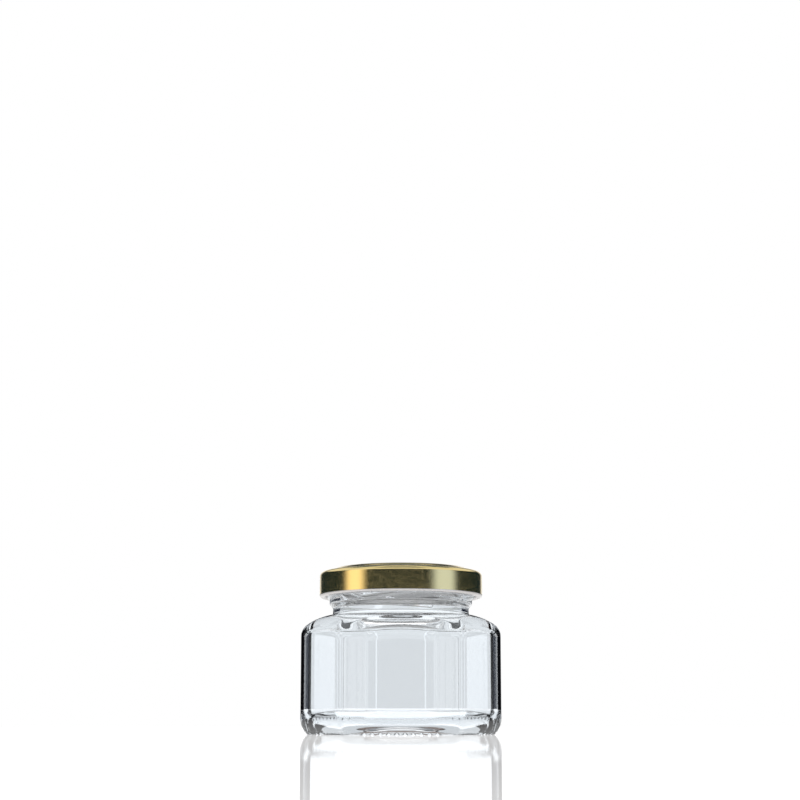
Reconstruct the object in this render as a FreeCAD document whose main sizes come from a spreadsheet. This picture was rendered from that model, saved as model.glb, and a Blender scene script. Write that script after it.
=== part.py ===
"""A short hexagonal jar of clear glass with its twist-off lid of lacquered sheet metal.

Millimetres, +Z up. The origin is the centre of the base, on the surface that the jar stands on.
A flat side of the jar faces -Y, and two of its upright corners lie on the X axis.
"""
import FreeCAD, Part
import math
import os
import Sketcher

# Each driving size: its name in the sheet, its value, and what it is.
SIZES = [
    # The glass body.
    ("across_flats", 61.6, "body, flat side to flat side"),
    ("corner_round", 8.0, "outside radius of the six upright corners"),
    ("wall", 2.7, "side wall"),
    ("inner_corner_round", 13.0, "inside radius of the six upright corners"),
    ("shoulder_top", 40.4, "height at which the shoulder reaches the neck"),
    ("shoulder_drop", 5.8, "fall of the shoulder from the neck to the sharp corner"),
    ("shoulder_bow", 23.0, "radius of the shoulder's slope"),
    ("shoulder_round", 3.8, "outside radius from the shoulder to the walls"),
    ("shoulder_wall", 2.8, "glass in the shoulder"),
    ("inner_shoulder_round", 4.0, "inside radius from the shoulder to the walls"),
    # The foot of the jar.
    ("heel_rise", 5.2, "height at which the heel reaches the walls"),
    ("heel_round", 7.0, "radius of the heel"),
    ("floor_edge", 3.6, "glass under the edge of the inside floor"),
    ("floor_crown", 1.3, "rise of the inside floor to its centre"),
    ("inner_heel_round", 5.0, "inside radius from the walls to the floor"),
    ("recess_across", 49.0, "hollow under the base, its diameter"),
    ("push_up", 2.2, "hollow under the base, its depth"),
    ("level_middle", 12.0, "level middle of the hollow and of the inside floor, its diameter"),
    ("knurl_pitch", 2.6, "bearing ring, notch to notch"),
    ("knurl_wide", 1.4, "width of a notch"),
    ("knurl_deep", 0.7, "depth of a notch"),
    # The neck, its threads and its rim.
    ("bore", 42.0, "mouth, inside diameter"),
    ("bore_round", 3.0, "inside radius from the shoulder to the mouth"),
    ("neck_wall", 2.3, "glass in the neck"),
    ("neck_foot_round", 0.8, "radius from the shoulder to the neck"),
    ("neck_rise", 2.4, "height of the neck under its step"),
    ("finish_step", 1.15, "how far the threaded wall stands out of the neck"),
    ("step_rise", 1.3, "height of the sloped step under the threaded wall"),
    ("rim_round", 1.2, "radius of the rim's two edges"),
    ("thread_depth", 0.85, "how far a thread stands out of its wall"),
    ("thread_wide", 2.3, "width of a thread at its root"),
    ("thread_lead", 17.5, "rise of a thread in a full turn"),
    ("thread_span", 84.0, "turn of one thread, in degrees"),
    ("thread_start", -118.7, "bearing of the first thread's low end, in degrees"),
    ("thread_lift", 1.5, "from the step to the middle of a thread's low end"),
    ("thread_count", 4, "threads, and lugs in the lid"),
    # The lid.
    ("sheet", 0.3, "sheet metal with its lacquer"),
    ("lid_tall", 10.3, "lid from its top to its curled edge"),
    ("lid_gap", 0.45, "from the threads to the curled edge"),
    ("curl_round", 1.1, "radius of the curled edge"),
    ("lid_round", 1.7, "radius from the top to the skirt"),
    ("panel_lap", 1.2, "how far the raised panel reaches past the mouth"),
    ("panel_rise", 1.3, "rise of the panel over the ring around it"),
    ("panel_slope", 2.0, "width of the slope around the panel"),
    ("lining", 0.65, "sealing ring between the sheet and the rim"),
    ("lining_lap", 0.4, "from the mouth to the sealing ring"),
    ("lining_bevel", 0.35, "slope of the sealing ring's outer edge"),
    ("lug_gap", 0.1, "from a lug to the thread over it"),
    ("lug_thick", 1.0, "height of a lug"),
    ("lug_lift", 0.1, "from the lid's lower edge to its lugs"),
    ("lug_clear", 0.4, "from a lug to the threaded wall"),
    ("lug_wide", 8.0, "length of a lug along the edge"),
    ("lug_turn", 72.0, "from a thread's low end to the lug under it, in degrees"),
]

# Sizes that follow from the driving ones.
CORNER_REACH = "(Sizes.across_flats / 2 / cos(30 deg))"
INNER_FLAT = "(Sizes.across_flats / 2 - Sizes.wall)"
MIDDLE = "(Sizes.level_middle / 2)"
BORE = "(Sizes.bore / 2)"
NECK = "(Sizes.bore / 2 + Sizes.neck_wall)"
FINISH = f"({NECK} + Sizes.finish_step)"
CREST = f"({FINISH} + Sizes.thread_depth)"
THREAD_ROUND = "((Sizes.thread_wide ^ 2 / 4 + Sizes.thread_depth ^ 2) / (2 * Sizes.thread_depth))"
THREAD_AXIS = f"({CREST} - {THREAD_ROUND})"
STEP_LOW = "(Sizes.shoulder_top + Sizes.neck_rise)"
STEP_HIGH = f"({STEP_LOW} + Sizes.step_rise)"
THREAD_LOW = f"({STEP_HIGH} + Sizes.thread_lift)"
THREAD_RISE = "(Sizes.thread_lead * Sizes.thread_span / 360)"
LUG_REACH = f"({FINISH} + Sizes.lug_clear)"
LUG_HALF_TURN = f"(Sizes.lug_wide / 2 / {LUG_REACH} * 180 / pi)"
LUG_TOP = (f"({THREAD_LOW} + Sizes.thread_lead * (Sizes.lug_turn - {LUG_HALF_TURN}) / 360"
           " - Sizes.thread_wide / 2 - Sizes.lug_gap)")
LUG_LOW = f"({LUG_TOP} - Sizes.lug_thick)"
LID_LOW = f"({LUG_LOW} - Sizes.lug_lift)"
LID_TOP = f"({LID_LOW} + Sizes.lid_tall)"
RING_TOP = f"({LID_TOP} - Sizes.panel_rise)"
RIM = f"({RING_TOP} - Sizes.sheet - Sizes.lining)"
SKIRT = f"({CREST} + Sizes.lid_gap + 2 * Sizes.curl_round)"
PANEL = f"({BORE} + Sizes.panel_lap)"
HEEL_ROUND = "min(Sizes.heel_round; 0.95 * Sizes.corner_round)"
INNER_HEEL_ROUND = "min(Sizes.inner_heel_round; 0.95 * Sizes.inner_corner_round)"
SHOULDER_ROUND = f"min(Sizes.shoulder_round; 0.55 * (Sizes.across_flats / 2 - {NECK}))"
INNER_SHOULDER_ROUND = f"min(Sizes.inner_shoulder_round; 0.6 * ({INNER_FLAT} - {BORE}))"
BORE_ROUND = f"min(Sizes.bore_round; 0.45 * ({INNER_FLAT} - {BORE}))"

LEFT, RIGHT = "left", "right"
SIDES = 6
OVERCUT = 2.0      # how far a cutting or a joining shape runs past what it meets
CLOSE = 0.01       # sizes nearer than this are taken as the same

doc = FreeCAD.newDocument("HexagonalGlassJar")


def make_sheet():
    """The spreadsheet that holds the driving sizes, one alias each."""
    sheet = doc.addObject("Spreadsheet::Sheet", "Sizes")
    for row, (name, value, note) in enumerate(SIZES, start=1):
        sheet.set(f"A{row}", note)
        sheet.set(f"B{row}", str(value))
        sheet.setAlias(f"B{row}", name)
    doc.recompute()
    return sheet


def number(thing, expression):
    """What an expression comes to, as a plain number."""
    result = thing.evalExpression(str(expression))
    return float(getattr(result, "Value", result))


def datum(body, role):
    """One of the body's own origin planes or axes."""
    return next(item for item in body.Origin.OriginFeatures if item.Role == role)


def make_body(name):
    return doc.addObject("PartDesign::Body", name)


def add_feature(body, kind, name, profile=None, bound=None, **fixed):
    """A PartDesign feature with its fixed settings and the sizes bound to the sheet."""
    feature = body.newObject("PartDesign::" + kind, name)
    if profile is not None:
        feature.Profile = profile
    for setting, value in fixed.items():
        setattr(feature, setting, value)
    for setting, expression in (bound or {}).items():
        feature.setExpression(setting, expression)
    doc.recompute()
    return feature


def arc_between(start, end, radius, side):
    """The shorter arc from start to end that turns to that side."""
    chord = end - start
    half = chord.Length / 2
    to_left = FreeCAD.Vector(-chord.y, chord.x, 0).normalize()
    away = math.sqrt(max(radius ** 2 - half ** 2, 0.0))
    centre = (start + end) / 2 + to_left * (away if side == LEFT else -away)
    first, last = (start, end) if side == LEFT else (end, start)
    circle = Part.Circle(centre, FreeCAD.Vector(0, 0, 1), radius)
    angles = [math.atan2(point.y - centre.y, point.x - centre.x) for point in (first, last)]
    return Part.ArcOfCircle(circle, *angles)


def add_sketch(body, name, plane, corners, bound=None):
    """A closed outline on an origin plane, through corners given as expressions.

    A corner is (across, up). With (across, up, radius, side) the way to it is an arc.
    """
    sketch = body.newObject("Sketcher::SketchObject", name)
    sketch.AttachmentSupport = (datum(body, plane), "")
    sketch.MapMode = "FlatFace"
    for setting, expression in (bound or {}).items():
        sketch.setExpression(setting, expression)
    points = [FreeCAD.Vector(number(sketch, corner[0]), number(sketch, corner[1]), 0)
              for corner in corners]
    ends = []
    for index, corner in enumerate(corners):
        start, end = points[index - 1], points[index]
        if len(corner) == 2:
            sketch.addGeometry(Part.LineSegment(start, end), False)
            ends.append((1, 2))
        else:
            arc = arc_between(start, end, number(sketch, corner[2]), corner[3])
            sketch.addGeometry(arc, False)
            ends.append((1, 2) if corner[3] == LEFT else (2, 1))
    for index, corner in enumerate(corners):
        following = (index + 1) % len(corners)
        sketch.addConstraint(Sketcher.Constraint(
            "Coincident", index, ends[index][1], following, ends[following][0]))
        sizes = [("DistanceX", corner[0], points[index].x), ("DistanceY", corner[1], points[index].y)]
        for kind, expression, value in sizes:
            place = sketch.addConstraint(Sketcher.Constraint(
                kind, -1, 1, index, ends[index][1], value))
            if "Sizes" in str(expression):
                sketch.setExpression(f"Constraints[{place}]", str(expression))
        if len(corner) == 4:
            radius = number(sketch, corner[2])
            place = sketch.addConstraint(Sketcher.Constraint("Radius", index, radius))
            sketch.setExpression(f"Constraints[{place}]", str(corner[2]))
    doc.recompute()
    return sketch


def edge_names(feature, wanted):
    """The names of a feature's edges that pass a test."""
    return [f"Edge{index}" for index, edge in enumerate(feature.Shape.Edges, start=1) if wanted(edge)]


def turn_profile(body, kind, name, profile):
    """A profile turned once around the upright axis: a Revolution adds it, a Groove cuts it."""
    return add_feature(body, kind, name, profile=profile, ReferenceAxis=(profile, ["V_Axis"]),
                       Angle=360)


def repeat_around(body, name, originals, count):
    """Features repeated around the upright axis."""
    body.Tip = add_feature(body, "PolarPattern", name, Originals=originals,
                           Axis=(datum(body, "Z_Axis"), [""]), Angle=360,
                           bound={"Occurrences": count})
    doc.recompute()


def round_edges(body, name, radius, wanted):
    """A fillet on the edges of the body's last feature that pass a test."""
    last = body.Tip
    return add_feature(body, "Fillet", name, Base=(last, edge_names(last, wanted)),
                       bound={"Radius": radius})


def round_ring(body, name, radius, across, height):
    """A fillet on the level circle of that radius at that height."""
    reach, level = number(body, across), number(body, height)

    def on_the_ring(edge):
        return is_level(edge, level) and abs(edge.BoundBox.XLength - 2 * reach) < CLOSE
    round_edges(body, name, radius, on_the_ring)


def is_upright(edge):
    box = edge.BoundBox
    return box.ZLength > CLOSE > max(box.XLength, box.YLength)


def is_level(edge, height):
    box = edge.BoundBox
    return max(abs(box.ZMin - height), abs(box.ZMax - height)) < CLOSE


def hexagon(flat):
    """The corners of a hexagon with a flat side towards -Y, for a distance to its flats."""
    reach = f"{flat} / cos(30 deg)"
    return [(f"{reach} * cos({60 * side} deg)", f"{reach} * sin({60 * side} deg)")
            for side in range(SIDES)]


def hexagonal_block(body, flat, low, high, corner):
    """An upright hexagonal block whose six upright edges are rounded."""
    base = add_sketch(body, "Section", "XY_Plane", hexagon(flat),
                      bound={".AttachmentOffset.Base.z": low})
    add_feature(body, "Pad", "Block", profile=base, bound={"Length": f"{high} - ({low})"})
    round_edges(body, "Corners", corner, is_upright)


def form_shoulder(body, flat, neck, top, radius):
    """Turns the top of a block to a slope around the neck, and rounds it into the walls."""
    reach = f"({flat} / cos(30 deg))"
    low = f"{top} - Sizes.shoulder_drop"
    profile = add_sketch(body, "Slope", "XZ_Plane", [
        (0, f"{top} + {OVERCUT}"), (0, top), (neck, top),
        (reach, low, "Sizes.shoulder_bow", RIGHT),
        (f"{reach} + {OVERCUT}", low), (f"{reach} + {OVERCUT}", f"{top} + {OVERCUT}")])
    turn_profile(body, "Groove", "Shoulder", profile)
    halfway_out = (number(body, flat) + number(body, neck)) / 2
    halfway_up = number(body, top) / 2

    def around_the_slope(edge):
        centre = edge.CenterOfMass
        at_the_wall = math.hypot(centre.x, centre.y) > halfway_out and centre.z > halfway_up
        return at_the_wall and not is_upright(edge)
    round_edges(body, "ShoulderRound", radius, around_the_slope)


def make_outside():
    """The outside of the jar as a full block: body, heel, knurled ring, neck and threads."""
    body = make_body("JarOutside")
    flat = "(Sizes.across_flats / 2)"
    low = f"(Sizes.heel_rise - {HEEL_ROUND})"
    hexagonal_block(body, flat, low, f"Sizes.shoulder_top + {OVERCUT}", "Sizes.corner_round")
    bottom = number(body, low)
    round_edges(body, "Heel", HEEL_ROUND, lambda edge: is_level(edge, bottom))
    form_shoulder(body, flat, NECK, "Sizes.shoulder_top", SHOULDER_ROUND)
    cut_foot(body)
    add_neck(body)
    add_threads(body)
    return body


def cut_foot(body):
    """Cuts the block level at the standing surface, hollows the base and notches its ring."""
    far = f"({CORNER_REACH} + {OVERCUT})"
    below = f"(Sizes.heel_rise - {HEEL_ROUND} - {OVERCUT})"
    recess = "(Sizes.recess_across / 2)"
    rise = f"({recess} - {MIDDLE})"
    bow = f"(({rise} ^ 2 + Sizes.push_up ^ 2) / (2 * Sizes.push_up))"
    under = add_sketch(body, "Underside", "XZ_Plane", [
        (0, below), (far, below), (far, 0), (recess, 0),
        (MIDDLE, "Sizes.push_up", bow, LEFT), (0, "Sizes.push_up")])
    turn_profile(body, "Groove", "Foot", under)

    # The ring that bears the jar follows the hexagon, one heel's slope inside its flats.
    slope = f"({HEEL_ROUND} - sqrt({HEEL_ROUND} ^ 2 - Sizes.heel_rise ^ 2))"
    ring = f"(Sizes.across_flats / 2 - {slope})"
    run = f"(2 * {ring} * tan(30 deg) - 2 * (Sizes.corner_round - {slope}) * tan(30 deg))"
    count = f"(floor(({run} - Sizes.knurl_wide) / Sizes.knurl_pitch) + 1)"
    first = f"(-({count} - 1) * Sizes.knurl_pitch / 2)"
    notch = add_sketch(body, "Notch", "XZ_Plane", [
        (f"{first} - Sizes.knurl_wide / 2", 0), (f"{first} - Sizes.knurl_wide / 2", "-Sizes.knurl_deep"),
        (f"{first} + Sizes.knurl_wide / 2", "-Sizes.knurl_deep"), (f"{first} + Sizes.knurl_wide / 2", 0),
        (first, "Sizes.knurl_deep")], bound={".AttachmentOffset.Base.z": "Sizes.across_flats / 2"})
    cut = add_feature(body, "Pocket", "KnurlNotch", profile=notch, Type="Length",
                      bound={"Length": f"Sizes.across_flats / 2 - {recess}"})
    row = add_feature(body, "LinearPattern", "KnurlRow", Direction=(notch, ["H_Axis"]),
                      bound={"Length": f"({count} - 1) * Sizes.knurl_pitch", "Occurrences": count})
    turn = add_feature(body, "PolarPattern", "KnurlTurn", Axis=(datum(body, "Z_Axis"), [""]),
                       Angle=360, Occurrences=SIDES)
    knurl = body.newObject("PartDesign::MultiTransform", "Knurl")
    knurl.Originals = [cut]
    knurl.Transformations = [row, turn]
    body.Tip = knurl
    doc.recompute()


def add_neck(body):
    """The neck, the step over it and the threaded wall up to the rounded rim."""
    inside = f"(Sizes.shoulder_top - {OVERCUT})"
    profile = add_sketch(body, "NeckProfile", "XZ_Plane", [
        (0, inside), (NECK, inside), (NECK, STEP_LOW), (FINISH, STEP_HIGH),
        (FINISH, f"{RIM} - Sizes.rim_round"),
        (f"{FINISH} - Sizes.rim_round", RIM, "Sizes.rim_round", LEFT),
        (0, RIM)])
    turn_profile(body, "Revolution", "Neck", profile)
    round_ring(body, "NeckFoot", "Sizes.neck_foot_round", NECK, "Sizes.shoulder_top")


def add_threads(body):
    """Four threads that rise to the right, each with a round end at both sides."""
    facing = "create(<<rotation>>; create(<<vector>>; 0; 1; 0); Sizes.thread_start)"
    root = f"({FINISH} - Sizes.thread_depth)"
    low = f"({THREAD_LOW} - Sizes.thread_wide / 2)"
    high = f"({THREAD_LOW} + Sizes.thread_wide / 2)"
    profile = add_sketch(body, "ThreadProfile", "XZ_Plane", [
        (root, low), (FINISH, low), (FINISH, high, THREAD_ROUND, LEFT), (root, high)],
        bound={".AttachmentOffset.Rotation": facing})
    parts = [add_feature(body, "AdditiveHelix", "Thread", profile=profile,
                         ReferenceAxis=(datum(body, "Z_Axis"), [""]), Mode="height-turns-angle",
                         bound={"Height": THREAD_RISE, "Turns": "Sizes.thread_span / 360"})]
    ends = [("LowEnd", "Sizes.thread_start", THREAD_LOW),
            ("HighEnd", "(Sizes.thread_start + Sizes.thread_span)", f"({THREAD_LOW} + {THREAD_RISE})")]
    for name, bearing, height in ends:
        parts.append(add_feature(body, "AdditiveSphere", name, bound={
            "Radius": THREAD_ROUND,
            ".AttachmentOffset.Base.x": f"{THREAD_AXIS} * cos({bearing} * 1 deg)",
            ".AttachmentOffset.Base.y": f"{THREAD_AXIS} * sin({bearing} * 1 deg)",
            ".AttachmentOffset.Base.z": height},
            AttachmentSupport=(datum(body, "XY_Plane"), ""), MapMode="FlatFace"))
    repeat_around(body, "Threads", parts, "Sizes.thread_count")


def make_inside():
    """The space in the jar as a block of its own, from the crowned floor to above the rim."""
    body = make_body("JarInside")
    top = "(Sizes.shoulder_top - Sizes.shoulder_wall)"
    hexagonal_block(body, INNER_FLAT, "Sizes.floor_edge", f"{top} + {OVERCUT}",
                    "Sizes.inner_corner_round")
    bottom = number(body, "Sizes.floor_edge")
    round_edges(body, "InnerHeel", INNER_HEEL_ROUND, lambda edge: is_level(edge, bottom))
    form_shoulder(body, INNER_FLAT, BORE, top, INNER_SHOULDER_ROUND)

    crown = f"({INNER_FLAT} - {INNER_HEEL_ROUND})"
    rise = f"({crown} - {MIDDLE})"
    crown_bow = f"(({rise} ^ 2 + Sizes.floor_crown ^ 2) / (2 * Sizes.floor_crown))"
    floor = add_sketch(body, "Floor", "XZ_Plane", [
        (0, f"Sizes.floor_edge - {OVERCUT}"), (crown, f"Sizes.floor_edge - {OVERCUT}"),
        (crown, "Sizes.floor_edge"),
        (MIDDLE, "Sizes.floor_edge + Sizes.floor_crown", crown_bow, LEFT),
        (0, "Sizes.floor_edge + Sizes.floor_crown")])
    turn_profile(body, "Groove", "FloorCrown", floor)

    mouth = add_sketch(body, "MouthProfile", "XZ_Plane", [
        (0, f"{top} - {OVERCUT}"), (BORE, f"{top} - {OVERCUT}"), (BORE, f"{RIM} - Sizes.rim_round"),
        (f"{BORE} + Sizes.rim_round", RIM, "Sizes.rim_round", RIGHT),
        (f"{BORE} + Sizes.rim_round", f"{RIM} + {OVERCUT}"), (0, f"{RIM} + {OVERCUT}")])
    turn_profile(body, "Revolution", "Mouth", mouth)
    round_ring(body, "MouthFoot", BORE_ROUND, BORE, top)
    return body


def make_jar():
    """The glass: the outside block less the space in it, in one piece."""
    jar = doc.addObject("Part::Cut", "GlassJar")
    jar.Label = "glass_jar"
    jar.Refine = False
    jar.Base = make_outside()
    jar.Tool = make_inside()
    doc.recompute()
    return jar


def make_lid():
    """The lid: sheet with a raised panel, a curled edge, four lugs and its sealing ring."""
    body = make_body("TwistLid")
    body.Label = "twist_lid"
    curl = "Sizes.curl_round"
    inner_curl = "(Sizes.curl_round - Sizes.sheet)"
    curl_axis = f"({SKIRT} - {curl})"
    curl_height = f"({LID_LOW} + {curl})"
    slope_round = "((Sizes.panel_slope ^ 2 + Sizes.panel_rise ^ 2) / (4 * Sizes.panel_rise))"
    round_axis = f"({SKIRT} - Sizes.lid_round)"
    round_low = f"({RING_TOP} - Sizes.lid_round)"
    seal = f"({BORE} + Sizes.lining_lap)"
    profile = add_sketch(body, "Sheet", "XZ_Plane", [
        # The outer face, from the middle of the panel down to the curl.
        (0, LID_TOP), (PANEL, LID_TOP),
        (f"{PANEL} + Sizes.panel_slope / 2", f"{LID_TOP} - Sizes.panel_rise / 2", slope_round, RIGHT),
        (f"{PANEL} + Sizes.panel_slope", RING_TOP, slope_round, LEFT),
        (round_axis, RING_TOP), (SKIRT, round_low, "Sizes.lid_round", RIGHT),
        # Round the curl, inwards and up to the end of the sheet, and back inside it.
        (SKIRT, curl_height), (curl_axis, LID_LOW, curl, RIGHT),
        (f"{curl_axis} - {curl}", curl_height, curl, RIGHT),
        (curl_axis, f"{curl_height} + {curl}", curl, RIGHT),
        (curl_axis, f"{curl_height} + {inner_curl}"),
        (f"{curl_axis} - {inner_curl}", curl_height, inner_curl, LEFT),
        (curl_axis, f"{curl_height} - {inner_curl}", inner_curl, LEFT),
        (f"{SKIRT} - Sizes.sheet", curl_height, inner_curl, LEFT),
        # Up the skirt, along the sealing ring and back under the panel.
        (f"{SKIRT} - Sizes.sheet", round_low),
        (round_axis, f"{RING_TOP} - Sizes.sheet", "(Sizes.lid_round - Sizes.sheet)", LEFT),
        (f"{round_axis} - Sizes.lining_bevel", RIM), (seal, RIM),
        (seal, f"{LID_TOP} - Sizes.sheet"), (0, f"{LID_TOP} - Sizes.sheet")])
    turn_profile(body, "Revolution", "Shell", profile)
    half = "Sizes.lug_wide / 2"
    lug = add_sketch(body, "LugOutline", "XY_Plane", [
        (LUG_REACH, f"-({half})"), (curl_axis, f"-({half})"), (curl_axis, half), (LUG_REACH, half)],
        bound={".AttachmentOffset.Base.z": LUG_LOW,
               ".AttachmentOffset.Rotation": "create(<<rotation>>; create(<<vector>>; 0; 0; 1); "
                                             "Sizes.thread_start + Sizes.lug_turn)"})
    pad = add_feature(body, "Pad", "Lug", profile=lug, bound={"Length": "Sizes.lug_thick"})
    repeat_around(body, "Lugs", [pad], "Sizes.thread_count")
    return body


def check_document():
    """Stops if any object failed."""
    for item in doc.Objects:
        if "Invalid" in item.State or "Error" in item.State:
            raise RuntimeError(f"{item.Name} failed: {item.State}")


def export(nodes):
    """Writes each sub-part's shape to its own file, named after its label."""
    os.makedirs("parts", exist_ok=True)
    for node in nodes:
        shape = node.Shape
        if shape.isNull() or not shape.isValid():
            raise RuntimeError(f"{node.Label} has no valid shape")
        shape.exportStep(f"parts/{node.Label}.step")
        box = shape.BoundBox
        print(f"{node.Label}: {len(shape.Solids)} solid, {shape.Volume / 1000:.2f} cm3, "
              f"x {box.XMin:.2f} to {box.XMax:.2f}, y {box.YMin:.2f} to {box.YMax:.2f}, "
              f"z {box.ZMin:.2f} to {box.ZMax:.2f}")


make_sheet()
jar = make_jar()
lid = make_lid()
check_document()
room = Part.makeCylinder(number(jar, CORNER_REACH), number(jar, RIM))
print(f"contents to the brim: {jar.Tool.Shape.common(room).Volume / 1000:.1f} ml")
export([jar, lid])
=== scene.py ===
# %% [markdown]
# # A hexagonal glass jar with a gold twist-off lid
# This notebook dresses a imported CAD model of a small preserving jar. The model fixes every
# size: the jar is 61.6 mm across its flat sides, and stands 56.6 mm tall with its lid on. Here
# the glass and the lid are modelled again as clean meshes with soft edges, and get the
# materials, the floor, the light and the camera that show them.
#
# The frame is loaded first. Everything is in metres, with the origin at the middle of the base.

# %% Load the frame and keep its box
import math
import bmesh
import bpy
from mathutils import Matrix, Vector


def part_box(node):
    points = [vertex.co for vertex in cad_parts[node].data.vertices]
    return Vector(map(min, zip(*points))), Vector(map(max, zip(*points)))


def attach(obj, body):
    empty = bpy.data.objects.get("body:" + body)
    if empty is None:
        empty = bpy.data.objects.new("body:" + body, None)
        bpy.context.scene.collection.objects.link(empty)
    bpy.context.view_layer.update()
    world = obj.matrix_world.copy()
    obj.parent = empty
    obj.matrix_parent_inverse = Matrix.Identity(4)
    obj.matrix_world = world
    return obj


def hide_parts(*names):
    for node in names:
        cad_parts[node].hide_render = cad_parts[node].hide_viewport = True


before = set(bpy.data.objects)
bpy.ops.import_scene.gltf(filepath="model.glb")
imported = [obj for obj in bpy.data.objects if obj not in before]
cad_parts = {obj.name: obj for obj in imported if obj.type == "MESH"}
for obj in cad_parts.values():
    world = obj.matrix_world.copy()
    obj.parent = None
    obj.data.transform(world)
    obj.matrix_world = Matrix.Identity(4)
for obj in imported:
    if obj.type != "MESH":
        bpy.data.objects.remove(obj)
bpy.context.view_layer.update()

MM = 0.001
jar_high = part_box("glass_jar")[1]
lid_low, lid_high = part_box("twist_lid")
FLAT = jar_high[1]
RIM = jar_high[2]
print(f"jar: {FLAT / MM:.2f} mm from the middle to a flat side, rim at {RIM / MM:.2f} mm")

# %% [markdown]
# ## Working in edit mode from a script
# The pieces are made with the same operators as by hand. An operator acts on whatever is
# selected, so a script first clears the selection, then picks faces, edges or points by a test
# on their place. These few helpers do that for every step that follows.

# %% Select by a test
def start_afresh():
    """Object mode with nothing selected."""
    if bpy.context.mode != "OBJECT":
        bpy.ops.object.mode_set(mode="OBJECT")
    bpy.ops.object.select_all(action="DESELECT")


def edit(piece):
    """Opens a piece in edit mode, with nothing selected in it."""
    start_afresh()
    piece.select_set(True)
    bpy.context.view_layer.objects.active = piece
    bpy.ops.object.mode_set(mode="EDIT")
    bpy.ops.mesh.select_all(action="DESELECT")


def pick(kind, wanted):
    """Selects, in edit mode, the vertices, edges or faces that pass a test."""
    bpy.ops.mesh.select_mode(type=kind)
    bpy.ops.mesh.select_all(action="DESELECT")
    mesh = bmesh.from_edit_mesh(bpy.context.edit_object.data)
    items = {"VERT": mesh.verts, "EDGE": mesh.edges, "FACE": mesh.faces}[kind]
    chosen = [item for item in items if wanted(item)]
    for item in chosen:
        item.select_set(True)
    mesh.select_flush_mode()
    bmesh.update_edit_mesh(bpy.context.edit_object.data)
    return len(chosen)

# %% Tests on place
SLACK = 0.01 * MM


def points_of(item):
    return item.verts if hasattr(item, "verts") else [item]


def at_height(item, height):
    return all(abs(point.co.z - height) < SLACK for point in points_of(item))


def distance_out(point):
    """How far a point lies from the upright axis."""
    return math.hypot(point.co.x, point.co.y)


def on_circle(item, radius):
    return all(abs(distance_out(point) - radius) < SLACK for point in points_of(item))


def is_open(edge):
    return edge.is_boundary or edge.is_wire

# %% [markdown]
# ## The glass, outside
# The body is a hexagon with generous round corners, pressed in a mould. A circle with six
# points is that hexagon already: rounding its points gives the corners, cutting its sides into
# short lengths gives it as many points as a smooth ring needs, and an extrusion makes the block.
# The corners and the sides are cut so that the ring has one number of points all the way up,
# because the round neck is joined to it point by point.

# %% A hexagonal block with round corners
SIDES = 6
CORNER_STEPS = 8
FLAT_STEPS = 40
RING_STEPS = SIDES * (CORNER_STEPS + FLAT_STEPS)
HALF_SIDE = math.radians(180 / SIDES)


def hexagonal_block(name, flat, corner, low, high):
    """An upright hexagonal block with round corners, from the low height to the high one."""
    start_afresh()
    bpy.ops.mesh.primitive_circle_add(
        vertices=SIDES, radius=flat / math.cos(HALF_SIDE), fill_type="NGON",
        location=(0, 0, low), rotation=(0, 0, HALF_SIDE))
    block = bpy.context.object
    block.name = name
    bpy.ops.object.transform_apply(location=True, rotation=True, scale=True)
    edit(block)
    pick("VERT", lambda point: True)
    bpy.ops.mesh.bevel(offset_type="OFFSET", offset=corner * math.tan(HALF_SIDE),
                       segments=CORNER_STEPS, affect="VERTICES", clamp_overlap=False)
    pick("EDGE", lambda edge: edge.calc_length() > corner)
    bpy.ops.mesh.subdivide(number_cuts=FLAT_STEPS - 1)
    pick("FACE", lambda face: True)
    bpy.ops.mesh.extrude_region_move(TRANSFORM_OT_translate={"value": (0, 0, high - low)})
    bpy.ops.mesh.select_all(action="SELECT")
    bpy.ops.mesh.normals_make_consistent(inside=False)
    return block

# %% [markdown]
# ## Rings that grow
# Much of a jar is round: the neck, the rim, the hollow under the base. Each is grown from an
# open loop of edges. The loop is extruded straight up, then scaled about the upright axis to
# the next radius, as often as the shape needs.

# %% Grow an open loop along a path
def grow_ring(path):
    """Extrudes the selected loop through (radius, height) places; the first is where it is."""
    for (radius, height), (next_radius, next_height) in zip(path, path[1:]):
        bpy.ops.mesh.extrude_edges_move(
            TRANSFORM_OT_translate={"value": (0, 0, next_height - height)})
        share = next_radius / radius
        bpy.ops.transform.resize(value=(share, share, 1), center_override=(0, 0, 0))


def arc_path(start, end, radius, steps):
    """Places along an arc that bulges up and outwards from start to end."""
    run, rise = end[0] - start[0], end[1] - start[1]
    half = math.hypot(run, rise) / 2
    away = math.sqrt(radius ** 2 - half ** 2)
    centre = ((start[0] + end[0]) / 2 + rise / (2 * half) * away,
              (start[1] + end[1]) / 2 - run / (2 * half) * away)
    first, last = (math.atan2(place[1] - centre[1], place[0] - centre[0])
                   for place in (start, end))
    angles = [first + (last - first) * step / steps for step in range(steps + 1)]
    return [(centre[0] + radius * math.cos(angle), centre[1] + radius * math.sin(angle))
            for angle in angles]

# %% [markdown]
# ## The shoulder
# Between the flat sides and the neck the glass is a shallow dome. Where the dome runs into the
# six sides it makes an arch over each, highest in the middle. No primitive has that edge, so the
# top of the block is left flat, given a ring of faces between the hexagon and the neck, and then
# draped straight down over a plain dome, as a hot sheet would be over a former. Beveling the
# hexagon's edge then rolls the dome over into the sides.

# %% Drape the top of a block over a dome
SHOULDER_DROP = 5.8 * MM
SHOULDER_BOW = 23.0 * MM
ABOVE = 2.0 * MM          # how far the block stands over the dome before it is draped
SHOULDER_STEPS = 6
DOME_STEPS = 64
EDGE_STEPS = 10
LIFT = 1.0 * MM           # loops are bridged with one a little off the other's plane


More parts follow.
